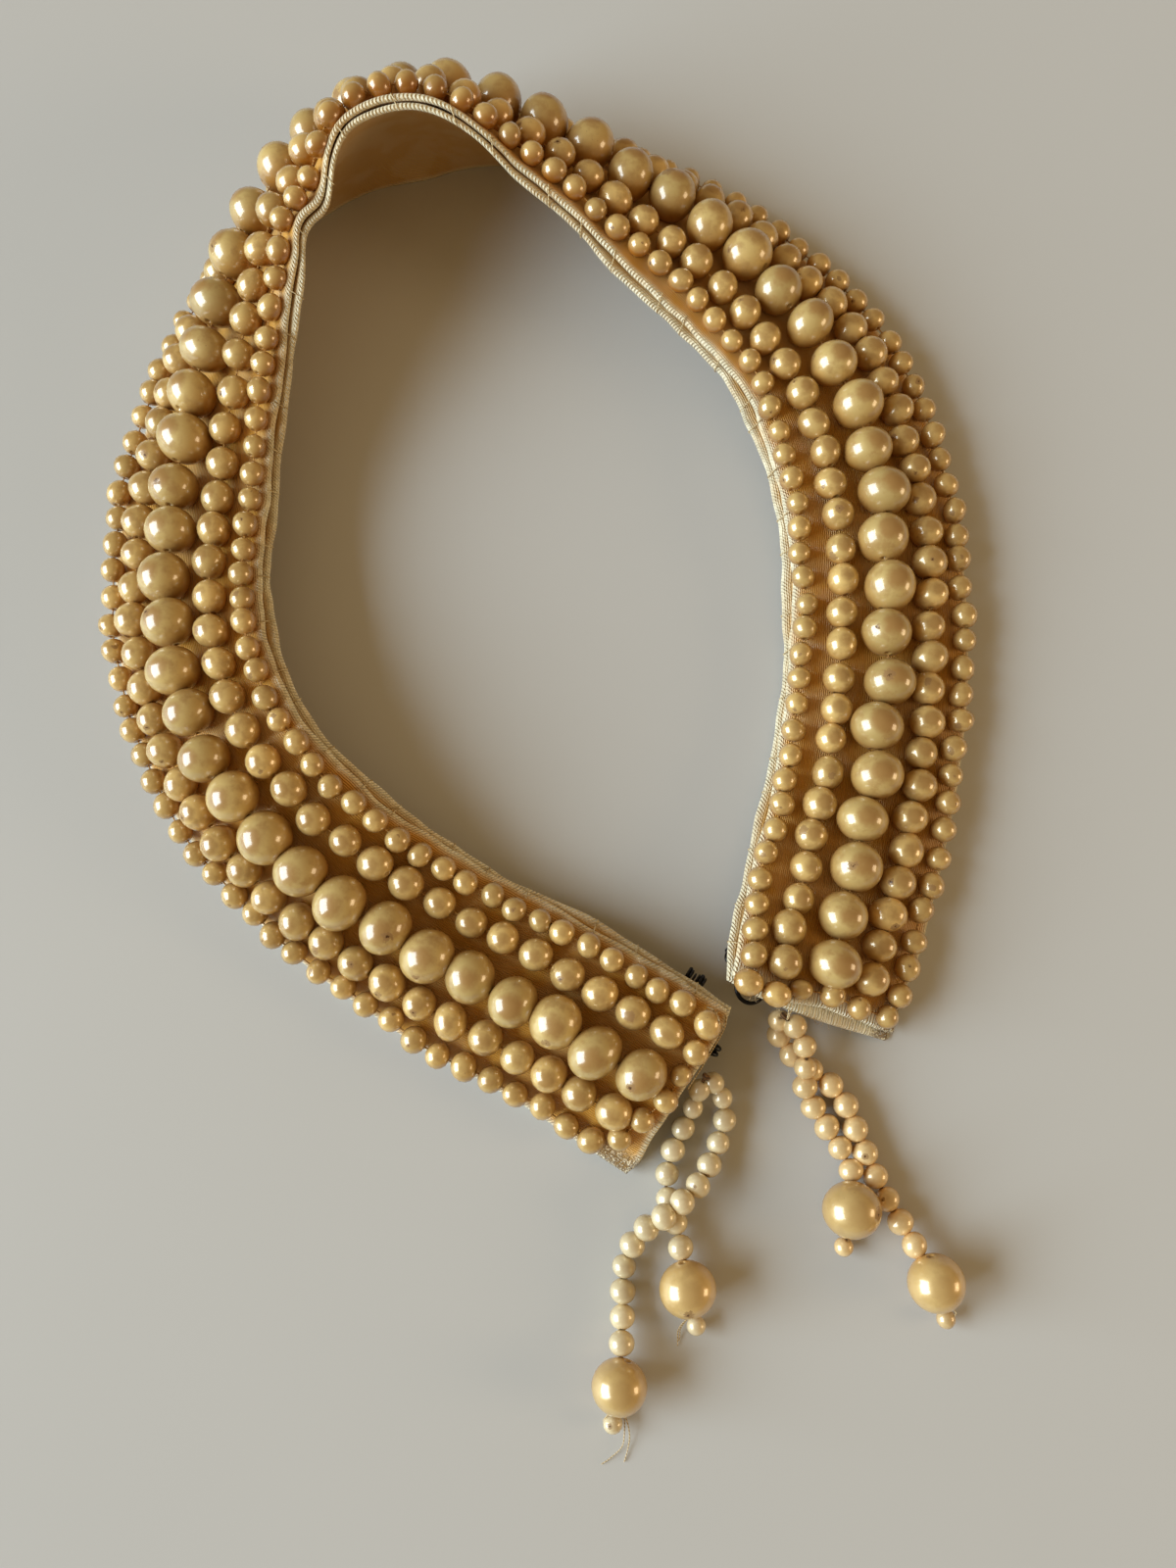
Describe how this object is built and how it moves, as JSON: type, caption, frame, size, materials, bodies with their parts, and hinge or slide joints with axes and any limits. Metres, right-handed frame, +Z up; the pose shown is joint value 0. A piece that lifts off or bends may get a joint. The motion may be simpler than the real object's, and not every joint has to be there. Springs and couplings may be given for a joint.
{
  "type": "beaded collar",
  "caption": "Curved satin collar band laid open on its long edge, sewn with rows of imitation pearls, with wire hooks and eyes and bead strands that end in large pearls.",
  "frame": {"origin": "on the table, under the middle of the collar's bounding box", "axes": "+Z up from the table, +Y towards the back bend of the collar, +X towards the end with the eyes, as the collar is seen from above"},
  "size_m": [0.1448, 0.2176, 0.0296],
  "materials": {
    "satin": "satin weave, cream",
    "lining_satin": "satin weave, cream",
    "pearl": "pearl lustre, golden cream",
    "wire": "black, worn"
  },
  "bodies": {
    "root": {"band_lining": "lining_satin", "band_top": "satin", "bead_strands_left": "pearl", "bead_strands_right": "pearl", "hook_neck_edge": "wire", "hook_end_edge": "wire", "eye_corner": "wire", "eye_under": "wire"}
  },
  "joints": []
}
